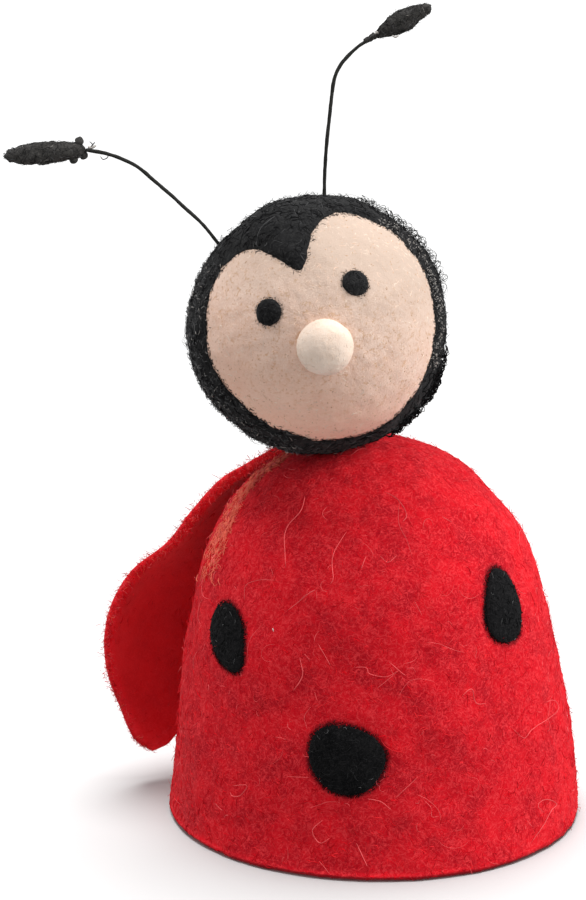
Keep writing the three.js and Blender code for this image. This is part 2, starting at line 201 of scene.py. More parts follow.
class Signal:
    """One output of a material's nodes. Arithmetic on it adds Math nodes."""

    def __init__(self, finish, socket):
        self.finish, self.socket = finish, socket

    def math(self, operation, first, second=0.0):
        return self.finish.node("Math", {"operation": operation}, {0: first, 1: second})

    __add__, __sub__ = arithmetic("ADD"), arithmetic("SUBTRACT")
    __mul__, __pow__ = arithmetic("MULTIPLY"), arithmetic("POWER")

    def __rsub__(self, other):
        return self.math("SUBTRACT", other, self)

    def __abs__(self):
        return self.math("ABSOLUTE", self)

    def between(self, low, high):
        """0 below low, 1 above high and smooth between them."""
        settings = {"interpolation_type": "SMOOTHSTEP"}
        return self.finish.node("MapRange", settings, {"Value": self, "From Min": low, "From Max": high})


class Finish:
    """A material: one shader, and a method that adds any other node."""

    def __init__(self, name, colour, roughness=0.95, **constants):
        self.material = bpy.data.materials.new(name)
        self.material.use_nodes = True
        self.material.diffuse_color = (*colour, 1)
        self.tree = self.material.node_tree
        self.shader = self.tree.nodes["Principled BSDF"]
        self.shader.inputs["Base Color"].default_value = (*colour, 1)
        self.shader.inputs["Roughness"].default_value = roughness
        self.shader.inputs["Specular IOR Level"].default_value = 0.06
        for socket, value in constants.items():
            self.shader.inputs[socket.replace("_", " ")].default_value = value

    def node(self, kind, settings, sockets, output=0):
        made = self.tree.nodes.new("ShaderNode" + kind)
        for setting, value in settings.items():
            setattr(made, setting, value)
        for socket, value in sockets.items():
            self.feed(made.inputs[socket], value)
        return Signal(self, made.outputs[output])

    def feed(self, socket, value):
        if isinstance(value, Signal):
            self.tree.links.new(value.socket, socket)
        elif socket.type == "RGBA":
            socket.default_value = (*value, 1)
        else:
            socket.default_value = value

    def mix(self, share, first, second):
        sockets = {"Factor": share, 6: first, 7: second}
        return self.node("Mix", {"data_type": "RGBA"}, sockets, output=2)

    def noise(self, place, scale, detail=2.0, roughness=0.5, output=0):
        sockets = {"Vector": place, "Scale": scale, "Detail": detail, "Roughness": roughness}
        return self.node("TexNoise", {}, sockets, output)

    def shade(self, **sockets):
        for socket, value in sockets.items():
            self.feed(self.shader.inputs[socket.replace("_", " ")], value)


def wool(name, deep, plain, lit, mottle, curl, hairs, bump, sheen, sheen_tint=(1, 1, 1), **constants):
    """Felted wool: cloudy dye, a tangle of fine curved fibres and a soft nap. Mottle and curl are sizes."""
    nap = {"Sheen_Weight": sheen, "Sheen_Roughness": 0.45, "Sheen_Tint": (*sheen_tint, 1)}
    felt = Finish(name, plain, **nap, **constants)
    place = felt.node("TexCoord", {}, {}, output=3)
    millimetres = felt.node("VectorMath", {"operation": "SCALE"}, {0: place, "Scale": 1000})
    sway = felt.noise(millimetres, 0.5 / curl, detail=1, output=1)
    centred = felt.node("VectorMath", {"operation": "SUBTRACT"}, {0: sway, 1: (0.5, 0.5, 0.5)})
    pulled = {"operation": "MULTIPLY_ADD"}
    swayed = felt.node("VectorMath", pulled, {0: centred, 1: (curl * 4,) * 3, 2: millimetres})
    coarse = felt.noise(swayed, 0.8 / curl, detail=1.5)
    fine = felt.noise(swayed, 1.9 / curl, detail=2.5)
    strand = (1 - abs(coarse * 2 - 1)) ** 14 + (1 - abs(fine * 2 - 1)) ** 10 * 0.8
    cloud = felt.noise(millimetres, 1 / mottle, detail=4, roughness=0.62)
    grain = felt.noise(millimetres, 3.2, detail=3, roughness=0.7)
    shade = (cloud * 0.6 + grain * 0.4).between(0.36, 0.62)
    dyed = felt.mix(shade, deep, plain)
    felt.place, felt.grain = millimetres, grain
    felt.colour = felt.mix((strand * hairs).between(0.0, 1.1), dyed, lit)
    height = strand * 0.6 + grain * 0.9 + fine * 0.5
    relief = felt.node("Bump", {}, {"Strength": bump, "Distance": 0.0003, "Height": height})
    felt.shade(Base_Color=felt.colour, Normal=relief)
    return felt


def dress(piece, finish, slot, *nodes):
    """Gives a finished piece its material, and sets it on the cosy in place of its plain solids."""
    set_in_metres(piece)
    piece.data.materials.append(finish.material)
    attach(piece, "root")
    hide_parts(*nodes)


dome_rings_outside, dome_rings_inside, dome_spokes = 112, 46, 240


def dome_grid():
    """Down the outside from the top, round the hem and up the inside."""
    outside = dome_profile(0, dome_rings_outside)[1:][::-1]
    inside = dome_profile(dome_wall, dome_rings_inside)[1:]
    quarter = np.radians(np.linspace(0, 90, 5))
    outer_x = hem_radius - hem_outer_round * (1 - np.cos(quarter))
    outer_round = np.stack([outer_x, hem_outer_round * (1 - np.sin(quarter))], -1)
    inner_x = hem_radius - dome_wall + hem_inner_round * (1 - np.sin(quarter))
    inner_round = np.stack([inner_x, hem_inner_round * (1 - np.cos(quarter))], -1)
    profile = np.concatenate([outside, outer_round, inner_round, inside])
    turn = np.linspace(0, 2 * math.pi, dome_spokes, endpoint=False)
    radius, z = profile[:, :1], profile[:, 1:]
    return by_hand(radius * np.sin(turn), -radius * np.cos(turn), z * np.ones_like(turn))


red_wool = wool(
    "red wool felt", (0.38, 0.004, 0.012), (0.68, 0.006, 0.015), (0.86, 0.05, 0.06),
    mottle=7, curl=0.9, hairs=0.6, bump=0.1, sheen=0.08, sheen_tint=(1, 0.25, 0.25),
)
dome = surface_piece("dome", dome_grid(), [(11, 0.5), (4, 0.25), (1.7, 0.16)])


def scattered(piece, count, seed, keep=None):
    """Random places on a piece; keep says from a face's middle and its normal whether it has any."""
    chance = np.random.default_rng(seed)
    mesh = piece.data
    mesh.calc_loop_triangles()
    places = np.array([v.co for v in mesh.vertices])
    corners = places[np.array([t.vertices for t in mesh.loop_triangles])]
    across = np.cross(corners[:, 1] - corners[:, 0], corners[:, 2] - corners[:, 0])
    area = np.linalg.norm(across, axis=1) / 2
    middle = corners.mean(1)
    if keep is not None:
        area = area * keep(middle, unit(across))
    chosen = chance.choice(len(area), count, p=area / area.sum())
    share = chance.dirichlet((1, 1, 1), count)
    return np.einsum("nk,nkd->nd", share, corners[chosen])


def surface_tree(piece):
    mesh = piece.data
    return BVHTree.FromPolygons([v.co for v in mesh.vertices], [f.vertices for f in mesh.polygons])


def as_made(piece):
    """A copy of a piece that stays in millimetres, for what is felted onto it."""
    copy = piece.copy()
    copy.data = piece.data.copy()
    return copy


def combed(piece, roots, ways, length, steps, curl, lift, seed, free_end=False):
    """Walks fibres over a piece from their roots: the paths, and the surface's normals along them."""
    chance = np.random.default_rng(seed)
    tree = surface_tree(piece)
    paths, normals = [], []
    for root, way in zip(roots, ways):
        whole = chance.uniform(*length)
        bend = chance.normal(0, curl)
        high = chance.uniform(*lift)
        place, normal, _, _ = tree.find_nearest(Vector(root))
        going = Vector(way)
        line, ups = [], []
        for step in range(steps + 1):
            t = step / steps
            rise = high * t**1.5 if free_end else high * math.sin(math.pi * t) - 0.05
            line.append(place + normal * rise)
            ups.append(normal)
            bend += chance.normal(0, curl * 0.5)
            going = going - normal * going.dot(normal)
            going.normalize()
            going = going * math.cos(bend) + normal.cross(going) * math.sin(bend)
            place, normal, _, _ = tree.find_nearest(place + going * (whole / steps))
        paths.append(line)
        normals.append(ups)
    return np.array(paths), np.array(normals)


def headings(count, seed):
    chance = np.random.default_rng(seed)
    return chance.normal(0, 1, (count, 3))


def grown(piece, count, seed, length, steps, curl, lift, keep=None, free_end=False):
    """Fibres from random places on a piece, in random directions."""
    roots = scattered(piece, count, seed, keep)
    return combed(piece, roots, headings(count, seed + 1), length, steps, curl, lift, seed + 2, free_end)


def through(stops, at, places=None):
    """Points of a smooth curve through stops. Each stop's place along it is its number, if not given."""
    places = range(len(stops)) if places is None else places
    return np.stack([smooth(places, column)(at) for column in np.transpose(stops)], -1)


def drawn(routes, steps=14):
    """Hairs drawn through a few given points each: the paths, and normals for them."""
    paths = [through(stops, np.linspace(0, len(stops) - 1, steps + 1)) for stops in routes]
    return np.array(paths), np.tile((0.0, -1.0, 0.05), (len(paths), steps + 1, 1))


def laid(piece, routes, lift):
    """Hairs drawn through given points and laid on a piece: the paths, and the surface's normals along
    them.
    """
    tree = surface_tree(piece)
    paths, normals = drawn(routes)
    for line, ups in zip(paths, normals):
        found = [tree.find_nearest(Vector(place)) for place in line]
        line[:] = [place + normal * lift for place, normal, _, _ in found]
        ups[:] = [normal for _, normal, _, _ in found]
    return paths, normals


def standing(roots, ways, length, bend, seed, steps=4):
    """Fibres that stand away from their roots, each a little bent: the paths, and normals for them."""
    chance = np.random.default_rng(seed)
    count = len(roots)
    ways = unit(ways)
    whole = chance.uniform(*length, count)[:, None, None]
    t = np.linspace(0, 1, steps + 1)[None, :, None]
    aside = chance.normal(0, bend, (count, 1, 3))
    paths = roots[:, None] + whole * (t * ways[:, None] + t**2 * aside)
    normals = np.cross(ways, chance.normal(0, 1, (count, 3)))
    return paths, np.repeat(normals[:, None], steps + 1, 1)


strand_ends = (0.12, 0.88)
strand_corners = (math.pi / 2, math.pi * 7 / 6, math.pi * 11 / 6)


def fibres(name, groups, finishes):
    """One piece of many fibres, each a thin three-sided strand that tapers to both its ends. A group is
    the paths, the normals along them, the thickness and the shares of the first finishes, none for the
    rest. Fibres this fine let the light past, so they cast no shadow."""
    chance = np.random.default_rng(len(name))
    points, faces, coats = [], [], []
    start = 0
    for paths, normals, thickness, shares in groups:
        count, stops, _ = paths.shape
        along = np.gradient(paths, axis=1)
        side = unit(np.cross(along, normals))
        up = unit(np.cross(side, along))
        taper = np.sin(np.linspace(*strand_ends, stops) * math.pi)[None, :, None] ** 0.5
        radius = thickness / 2 * chance.uniform(0.6, 1.25, (count, 1, 1)) * taper
        ring = [paths + radius * (math.cos(turn) * side + math.sin(turn) * up) for turn in strand_corners]
        middle = np.stack(ring, 2)[:, 1:-1].reshape(count, -1, 3)
        whole = np.concatenate([paths[:, :1], middle, paths[:, -1:]], 1)
        size = whole.shape[1]
        one = [(0, 1 + k, 1 + (k + 1) % 3) for k in range(3)]
        for j in range(stops - 3):
            low, high = 1 + 3 * j, 4 + 3 * j
            for k in range(3):
                one.append((low + k, high + k, high + (k + 1) % 3))
                one.append((low + k, high + (k + 1) % 3, low + (k + 1) % 3))
        last = 1 + 3 * (stops - 3)
        one += [(last + (k + 1) % 3, last + k, size - 1) for k in range(3)]
        one = np.array(one)
        points.append(whole.reshape(-1, 3))
        offsets = start + np.arange(count)[:, None, None] * size
        faces.append((one[None] + offsets).reshape(-1, 3))
        chosen = chance.choice(len(shares), count, p=np.array(shares) / sum(shares))
        coats.append(np.repeat(chosen, len(one)))
        start += count * size
    points, faces, coats = (np.concatenate(part) for part in (points, faces, coats))
    points[:, 2] = np.maximum(points[:, 2], 0.02)
    mesh = bpy.data.meshes.new(name)
    mesh.vertices.add(len(points))
    mesh.vertices.foreach_set("co", in_metres(points).ravel())
    mesh.loops.add(len(faces) * 3)
    mesh.loops.foreach_set("vertex_index", faces.ravel())
    mesh.polygons.add(len(faces))
    mesh.polygons.foreach_set("loop_start", np.arange(len(faces)) * 3)
    for finish in finishes:
        mesh.materials.append(finish.material)
    mesh.polygons.foreach_set("material_index", coats)
    mesh.update(calc_edges=True)
    mesh.validate()
    mesh.shade_smooth()
    piece = placed(name, mesh)
    piece.visible_shadow = False
    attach(piece, "root")


def fibre_finish(name, colour):
    """One fibre's finish: its dye is a little paler in some lengths than in others."""
    finish = Finish(name, colour)
    place = finish.node("TexCoord", {}, {}, output=3)
    paler = finish.noise(place, 700, detail=1).between(0.35, 0.7)
    dark, pale = (tuple(min(channel * share, 1) for channel in colour) for share in (0.82, 1.18))
    finish.shade(Base_Color=finish.mix(paler, dark, pale))
    return finish


def fibre_finishes(colours):
    return [fibre_finish(name + " fibre", colour) for name, colour in colours.items()]


red_fibres = fibre_finishes({
    "deep red": (0.5, 0.004, 0.012),
    "red": (0.68, 0.008, 0.017),
    "bright red": (0.82, 0.03, 0.04),
    "pink": (0.95, 0.13, 0.14),
    # Salmon fibres are a painted highlight: fuzz that catches the back light on the left shoulder and at
    # the wings' edges.
    "salmon highlight": (1.0, 0.19, 0.13),
    "white": (0.95, 0.75, 0.72),
})


def from_axis(points):
    """How far points are from the dome's leaning axis: to the right and to the back."""
    return np.moveaxis(points[..., :2] - dome_lean * (points[..., 2:] / dome_height), -1, 0)


lowest_wool, faces_down, inner_face = 0.5, -0.25, -1.2


def outside_of_dome(middle, normal):
    outward = np.hypot(*from_axis(middle)) - dome_radius(middle[:, 2])
    return (normal[:, 2] > faces_down) & (middle[:, 2] > lowest_wool) & (outward > inner_face)


# Long hairs that work loose at the front, each laid through given points: angles round the dome and
# heights.
loose_hairs = [
    [(-40, 61), (-39, 59), (-43, 56.5), (-40, 53.5), (-37, 50.5)],
    [(-52, 44), (-53, 46.5), (-47, 48), (-40, 48.5)],
    [(-14, 57), (-18, 54.5), (-19, 52.5), (-18, 50), (-19, 49)],
    [(6, 62), (12, 61), (14, 59), (11, 58)],
    [(13, 61), (9, 58), (11, 55.5), (12, 53)],
    [(-1, 53.5), (2, 52.5), (6, 53.5)],
    [(-6, 53.5), (-8, 51.5)],
    [(-11, 36), (-7, 36), (-6, 35), (-1, 34.5), (3, 35.5)],
    [(-4, 32.5), (3, 35.5)],
    [(0, 37), (5, 34.5)],
    [(-23, 31.5), (-22, 30)],
    [(-25, 25), (-26, 27), (-24, 29)],
    [(38, 23.5), (43, 20.5), (48, 21.5), (65, 21.5), (64, 23.5), (56, 24.5)],
    [(40, 2), (46, 4), (52, 6), (56, 6.5), (50, 8.5), (46, 8), (49, 6)],
    [(-8, 14), (-4, 13.5), (-1, 12)],
    [(7, 17.5), (0, 14)],
    [(-50, 12.5), (-44, 13.5), (-46, 11.5), (-49, 11), (-50, 11.5)],
    [(-11, 6.5), (-8, 2.5)],
    [(-21, 3), (-18, 1)],
    [(-31, 16.5), (-24, 17)],
    [(-22, 39.5), (-18, 36)],
    [(-34, 44), (-27, 47), (-24, 48)],
    [(31, 58), (35, 57)],
    [(10, 46.5), (12, 44)],
    [(8, 13.5), (10, 12), (10, 10.5), (12, 10.5)],
    [(6, 14.5), (9, 13.5), (12, 11.5), (12.5, 9.5)],
    [(-20, 10), (-23, 8), (-21, 6), (-18, 7)],
    [(22, 30), (26, 31), (27, 28.5), (31, 28)],
    [(-30, 31), (-27, 34), (-28, 37)],
]
fleck = [(-38.4, 40.9), (-38.1, 40.7), (-37.8, 40.4)]
# The fuzz is combed thick over the left shoulder where it meets the wing, mostly salmon pink: a painted
# highlight for the back light catching the fuzz along the shoulder's edge.
shoulder = [(-97, 63.4), (-91, 61.4), (-92, 59), (-87, 56), (-83, 53.5), (-82, 51), (-81, 48), (-79, 43)]


def shoulder_highlight_hairs(count, seed):
    """Roots along the shoulder's painted highlight and headings down it."""
    chance = np.random.default_rng(seed)
    at = (len(shoulder) - 1.5) * chance.uniform(0, 1, count) ** 1.6
    astray = np.stack([chance.normal(0, 1.9 + 0.4 * at, count), chance.normal(0, 0.6 + 0.1 * at, count)])
    roots = on_dome(*through(shoulder, at).T + astray)
    ahead = on_dome(*through(shoulder, at + 0.5).T + astray)
    return roots, (ahead - roots) * chance.choice((-1, 1), (count, 1)) + chance.normal(0, 0.5, (count, 3))


def over_dome(routes):
    return [on_dome(*np.array(route).T) for route in routes]


dome_surface = as_made(dome)
nap = grown(dome, 6400, 11, (1.4, 3.4), 4, 0.55, (0.0, 0.08), outside_of_dome)
fuzz = grown(dome, 2200, 14, (1.0, 2.6), 4, 0.4, (0.25, 0.85), outside_of_dome, free_end=True)
stray = grown(dome, 130, 17, (3, 9), 10, 0.24, (0.2, 0.5), outside_of_dome)
loose = laid(dome, over_dome(loose_hairs), lift=0.3)
flecks = laid(dome, over_dome([fleck]), lift=0.3)
# Painted highlight: these fibres are mostly salmon, for the back light catching the shoulder's fuzz.
shoulder_highlight_fibres = combed(dome, *shoulder_highlight_hairs(1500, 20), (1.5, 3.6), 4, 0.4, (0.05, 0.5), seed=21)
groups = [
    (*nap, 0.19, (4, 8, 4, 0.2)),
    (*fuzz, 0.09, (2, 5, 4, 1)),
    (*stray, 0.1, (0, 0, 3, 2)),
    (*loose, 0.17, (0, 0, 0, 1)),
    (*flecks, 0.4, (0, 0, 0, 0, 0, 1)),
    (*shoulder_highlight_fibres, 0.15, (0, 1, 1, 1, 9)),
]
fibres("dome_fibres", groups, red_fibres)
dress(dome, red_wool, "red_felt", "body")

# The wings are two thin sheets of smoother red felt, cut to a leaf with a wavy outer edge. Only the
# roots are felted to the dome, at the neck; the left one is spread and hollow towards the dome.
wing_rows = {
    "outer_around": [125.0, 118.2, 116.1, 114.6, 112.4, 108.2, 105.9, 105.7, 108.0, 110.6, 114.0],
    "outer_z": [62.6, 58.6, 54.2, 48.4, 42.9, 37.0, 29.6, 21.4, 13.2, 6.9, 4.0],
    "outer_lift": [0.9, 1.5, 3.2, 5.0, 7.0, 11.9, 14.4, 14.1, 11.4, 8.8, 6.2],
    "inner_around": [148.0, 154.0, 157.0, 157.0, 155.0, 151.0, 146.0, 139.0, 130.0, 121.0, 116.5],
    "inner_z": [61.0, 55.0, 49.0, 43.0, 37.0, 31.0, 25.0, 18.6, 12.8, 8.2, 4.8],
    "inner_lift": [0.9, 1.2, 1.6, 2.0, 2.6, 3.0, 3.2, 3.2, 3.0, 3.4, 4.8],
}
wing_root_thickness, wing_thickness, wing_full_by = 1.2, 2.0, 2.5
wing_hollow, wing_spread_curve = 1.6, 1.3
wing_last_row = 10
wing_root_rows, wing_tip_rows = 0.15, 0.35
wing_sections, wing_points_across, wing_points_round_rim = 120, 40, 6
wing_edges = {column: smooth(range(wing_last_row + 1), values) for column, values in wing_rows.items()}


def wing_place(side, backwards, lower, spread, outwards, row, across):
    """Places in a wing: outwards over its width, row down its length, across its thickness in mm."""
    edge = {column: curve(row) for column, curve in wing_edges.items()}
    mixed = {
        measure: edge["inner_" + measure] * (1 - outwards) + edge["outer_" + measure] * outwards
        for measure in ("around", "z")
    }
    rise = (edge["outer_lift"] - edge["inner_lift"]) * np.maximum(outwards, 0) ** wing_spread_curve * spread
    belly = wing_hollow * np.sin(math.pi * outwards) * np.sin(math.pi * row / wing_last_row)
    lift = edge["inner_lift"] + rise + belly + across
    return on_dome(side * (mixed["around"] + backwards), mixed["z"] - lower, lift)


def wing_grid(*placing):
    """Sections through the wing, each going out along its far face, round the rim and back."""
    row = np.linspace(0, wing_last_row, wing_sections)[:, None]
    edge_to_edge = wing_place(*placing, 1.0, row, 0.0) - wing_place(*placing, 0.0, row, 0.0)
    width = np.linalg.norm(edge_to_edge, axis=2)
    full = np.minimum(row / wing_full_by, 1)
    radius = (wing_root_thickness * (1 - full) + wing_thickness * full) / 2
    tip = np.sqrt(np.clip((wing_last_row - row) / wing_tip_rows, 0, 1))
    start = np.sqrt(np.clip(row / wing_root_rows, 0, 1))
    radius = np.minimum(radius, width / 2) * tip * start
    round_share = radius / width
    middle = np.linspace(0, 1, wing_points_across)
    rim = np.radians(np.linspace(75, -75, wing_points_round_rim))
    along = round_share + middle * (1 - 2 * round_share)
    out_rim = 1 - round_share + round_share * np.cos(rim)
    in_rim = round_share - round_share * np.cos(rim)
    outwards = np.concatenate([along, out_rim, along[:, ::-1], in_rim], 1)
    flat = np.ones_like(middle)
    across = np.concatenate([radius * flat, radius * np.sin(rim), -radius * flat, -radius * np.sin(rim)], 1)
    return wing_place(*placing, outwards, row * np.ones_like(outwards), across)


wing_wool = wool(
    "red wing felt", (0.72, 0.014, 0.024), (0.84, 0.022, 0.034), (0.92, 0.05, 0.065),
    mottle=9, curl=0.8, hairs=0.35, bump=0.14, sheen=0.16, sheen_tint=(1, 0.5, 0.5),
    Subsurface_Weight=0.5, Subsurface_Radius=(1.0, 0.12, 0.12), Subsurface_Scale=0.002,
)
outer_fuzz, inner_fuzz, halo_fibres = 1300, 300, 1200
long_hair = {"outwards": np.array([0.9, 0.6, 0.25]), "row": np.array([8.1, 8.7, 9.3])}
# Each wing's side, how far round and down it is moved, how far it is spread, and its seed.
wings = [("left", (-1, 0, 0, 1.0), 31), ("right", (1, 26, 2, 0.3), 41)]
for side, placing, seed in wings:
    wing = surface_piece("wing_" + side + "_felt", wing_grid(*placing), [(7, 0.2), (2, 0.06)])
    nap = grown(wing, 900, seed, (1.0, 2.4), 4, 0.4, (0.02, 0.08))
    chance = np.random.default_rng(seed + 3)
    outer = wing_last_row * chance.uniform(0.02, 1, outer_fuzz) ** 1.3
    inner = wing_last_row * chance.uniform(0.1, 1, inner_fuzz)
    roots = np.concatenate([
        wing_place(*placing, 1.0, outer, chance.normal(0, 0.5, outer_fuzz)),
        wing_place(*placing, 0.0, inner, chance.normal(0, 0.5, inner_fuzz)),
    ])
    ways = headings(outer_fuzz + inner_fuzz, seed + 4)
    fuzz = combed(wing, roots, ways, (0.5, 1.3), 4, 0.4, (0.25, 0.8), seed + 5, free_end=True)
    row = wing_last_row * chance.uniform(0.02, 0.85, halo_fibres) ** 1.6
    rim = wing_place(*placing, 1.0, row, chance.normal(0, 0.5, halo_fibres))
    ways = rim - wing_place(*placing, 0.93, row, 0.0) + chance.normal(0, 0.9, (halo_fibres, 3))
    halo = standing(rim, ways, (0.3, 1.1), 0.4, seed + 6)
    loose = laid(wing, [wing_place(*placing, *long_hair.values(), 1.0)], lift=0.3)
    groups = [
        (*nap, 0.14, (0, 2, 3)),
        (*fuzz, 0.07, (1, 4, 4, 3, 1)),
        (*halo, 0.1, (1, 4, 5, 2)),
        (*loose, 0.12, (0, 0, 1)),
    ]
    fibres("wing_" + side + "_fibres", groups, red_fibres)
    dress(wing, wing_wool, "red_felt", "wing_" + side)

# The head is a ball of peach wool, needle felted hard, a little flat at its left. It is turned and
# tipped back on the dome, and everything on it is laid out in the head's own directions.
head_middle = np.array([-11.0, -3.56, 88.5])
head_radius = 20.4
head_turn, head_tip, head_tilt = -1.55, 11.36, 17.65
head_lumps = {
    "polar": [92, 92, 92],
    "around": [-32, 152, 78],
    "wide": [27, 26, 30],
    "rise": [-0.9, 0.7, 0.3],
}


def turned(axis, degrees):
    return np.array(Matrix.Rotation(math.radians(degrees), 3, axis))


head_frame = turned("Z", head_turn) @ turned("X", -head_tip) @ turned("Y", -head_tilt)


def head_direction(polar, around):
    """Directions from the middle of the head: the face looks along -Y and the crown is up +Z."""
    p, a = np.radians(polar), np.radians(around)
    return np.stack([np.sin(p) * np.sin(a), -np.cos(p) * np.ones_like(a), np.sin(p) * np.cos(a)], -1)


def on_head(direction, radius):
    """Places over the head's ball, which isn't quite round."""
    rise = 0.0
    for polar, around, wide, lump in zip(*head_lumps.values()):
        away = np.degrees(np.arccos(np.clip(direction @ head_direction(polar, around), -1, 1)))
        rise = rise + lump * np.exp(-((away / wide) ** 2))
    local = direction * (radius + rise)[..., None]
    return local @ head_frame.T + head_middle


head_rings, head_spokes = 120, 200
head_polar, head_around = np.meshgrid(
    np.linspace(0, 180, head_rings), np.linspace(0, 360, head_spokes, endpoint=False), indexing="ij"
)
flesh_wool = wool(
    "peach wool felt", (0.72, 0.48, 0.37), (0.81, 0.59, 0.48), (0.88, 0.7, 0.61),
    mottle=5, curl=0.6, hairs=0.5, bump=0.3, sheen=0.08,
)
freckle = flesh_wool.noise(flesh_wool.place, 1.1, detail=3, roughness=0.85).between(0.54, 0.64)
freckled = flesh_wool.mix(freckle * 0.8, flesh_wool.colour, (0.6, 0.35, 0.2))
sideways, height = (flesh_wool.node("SeparateXYZ", {}, {0: flesh_wool.place}, output=k) for k in (0, 2))
# Pinker and brighter towards the chin, more so at its left: partly the wool's own blush, partly painted
# light for light bounced up onto the underside of the face.
blush_and_painted_uplight = (1 - (height + sideways * 0.35).between(64, 96)) * (flesh_wool.noise(flesh_wool.place, 0.12) + 0.4)
blushed_with_painted_uplight = flesh_wool.mix(blush_and_painted_uplight, freckled, (1.0, 0.6, 0.45))
# Painted shade: the face is darkened towards its top and a little to its right, to tone down where the
# right light falls strongest.
painted_crown_shade = (height + sideways * 0.3).between(90, 107) * 0.9
flesh_wool.shade(Base_Color=flesh_wool.mix(painted_crown_shade, blushed_with_painted_uplight, (0.55, 0.43, 0.35)))

head_grid = on_head(head_direction(head_polar, head_around), head_radius * np.ones_like(head_polar))
head = surface_piece("head", head_grid, [(6, 0.2), (2, 0.12), (0.9, 0.08)])
head_surface = as_made(head)
face_from = 4


def on_face(middle, normal):
    return ((middle - head_middle) @ head_frame)[:, 1] < -face_from


flesh_fibres = fibre_finishes({
    "peach": (0.84, 0.62, 0.49),
    "pale": (0.9, 0.75, 0.64),
    "tan": (0.58, 0.36, 0.22),
})
nap = grown(head, 1800, 51, (0.8, 2.2), 4, 0.6, (0.0, 0.06), on_face)
tan = grown(head, 1000, 54, (0.25, 0.7), 4, 0.5, (0.0, 0.06), on_face)
fibres("face_fibres", [(*nap, 0.12, (5, 3)), (*tan, 0.18, (0, 0, 1))], flesh_fibres)
dress(head, flesh_wool, "flesh_felt", "head_ball")

# The hood is black wool felted over the ball to a skin of a millimetre. Its soft rim frames the face
# with a widow's peak, and under the neck it is pressed flat where the head is felted to the dome.
hood_under, hood_thickness = 0.5, 1.1
hood_thins_from, hood_sunk, hood_off_dome = 0.8, 0.15, 0.1
hood_rings, hood_rings_inside, hood_spokes = 110, 20, 220
hood_faces_out = 4
edge_around = [
    -5.5, 7.2, 12.5, 19.5, 32.0, 52.2, 74.5, 89.5, 105.0, 132.4, 151.0,
    168.0, 189.4, 215.9, 236.1, 256.5, 294.8, 311.7, 324.0, 338.6, 347.0,
]
edge_open = [
    32.0, 39.0, 49.5, 62.0, 70.5, 76.0, 76.0, 74.5, 74.0, 73.5, 73.5,
    73.5, 71.5, 64.0, 63.5, 66.5, 69.0, 71.0, 69.0, 57.0, 40.0,
]
hood_opening = smooth(
    [edge_around[-1] - 360, *edge_around, edge_around[0] + 360, edge_around[1] + 360],
    [edge_open[-1], *edge_open, *edge_open[:2]],
)


def clear_of_dome(points, gap):
    """How far points are outside the dome grown by a gap, below 0 inside it."""
    roof = np.where(points[..., 2] > dome_height + gap, 1.0, -1.0)
    return np.maximum(np.hypot(*from_axis(points)) - dome_radius(points[..., 2] - gap) - gap, roof)


def hood_grid():
    """From the back of the head forwards, round the rim of the opening and back inside."""
    around = edge_around[0] + np.linspace(0, 360, hood_spokes, endpoint=False)
    inner = head_radius + hood_under
    share = np.linspace(0, 1, hood_rings)
    thinned = np.clip((share - hood_thins_from) / (1 - hood_thins_from), 0, 1) ** 2
    outer = inner + hood_thickness - (hood_under + hood_thickness + hood_sunk) * thinned
    inside_radius = np.full(hood_rings_inside, head_radius - hood_sunk)
    inside = np.stack([np.linspace(0.98, 0, hood_rings_inside), inside_radius], -1)
    profile = np.concatenate([np.stack([share, outer], -1), inside])
    share, radius = profile[:, :1], profile[:, 1:] * np.ones_like(around)
    polar = 180 - share * (180 - hood_opening(around))
    direction = head_direction(polar, around * np.ones_like(polar))
    low, high = np.full_like(radius, head_radius - hood_sunk), radius.copy()
    for _ in range(14):
        half = (low + high) / 2
        outside_dome = clear_of_dome(on_head(direction, half), hood_off_dome) > 0
        low, high = np.where(outside_dome, half, low), np.where(outside_dome, high, half)
    clear = clear_of_dome(on_head(direction, radius), hood_off_dome) > 0
    return on_head(direction, np.where(clear, radius, low))


black_wool = wool(
    "black wool felt", (0.006, 0.006, 0.0065), (0.014, 0.014, 0.0145), (0.05, 0.049, 0.05),
    mottle=6, curl=0.8, hairs=0.4, bump=0.3, sheen=0.08,
)
black_fibres = fibre_finishes({
    "black": (0.006, 0.006, 0.0065),
    "charcoal": (0.024, 0.024, 0.025),
    "grey": (0.13, 0.13, 0.132),
    "pale grey": (0.5, 0.47, 0.44),
    "stained red": (0.14, 0.004, 0.008),
})
hood = surface_piece("hood_felt", hood_grid(), [(7, 0.3), (2.4, 0.2), (1, 0.12)])


def outside_of_hood(middle, normal):
    return ((middle - head_middle) * normal).sum(1) > hood_faces_out


def along_rim(piece, count, seed, stretch, beyond, radius, length, steps, curl, lift):
    """Fibres along a stretch of the hood's rim; beyond is how many degrees off it, and the spread."""
    chance = np.random.default_rng(seed)
    around = chance.uniform(*stretch, count)
    polar = hood_opening((around - edge_around[0]) % 360 + edge_around[0]) + chance.normal(*beyond, count)
    roots = on_head(head_direction(polar, around), np.full(count, radius))
    return combed(piece, roots, headings(count, seed + 1), length, steps, curl, lift, seed + 2)


nap = grown(hood, 4400, 61, (1.2, 3.0), 4, 0.5, (0.02, 0.2), outside_of_hood)
fuzz = grown(hood, 2600, 64, (0.8, 2.2), 4, 0.4, (0.3, 1.0), outside_of_hood, free_end=True)
stray = grown(hood, 90, 67, (3, 7), 10, 0.35, (0.4, 1.2), outside_of_hood)
top = head_radius + hood_under + hood_thickness
edge = along_rim(head_surface, 1400, 71, (0, 360), (0.4, 1.1), head_radius, (0.4, 1.2), 4, 0.6, (0.05, 0.2))
specks = along_rim(hood, 350, 74, (50, 130), (4, 3), top, (0.2, 0.8), 4, 0.7, (0.1, 0.4))
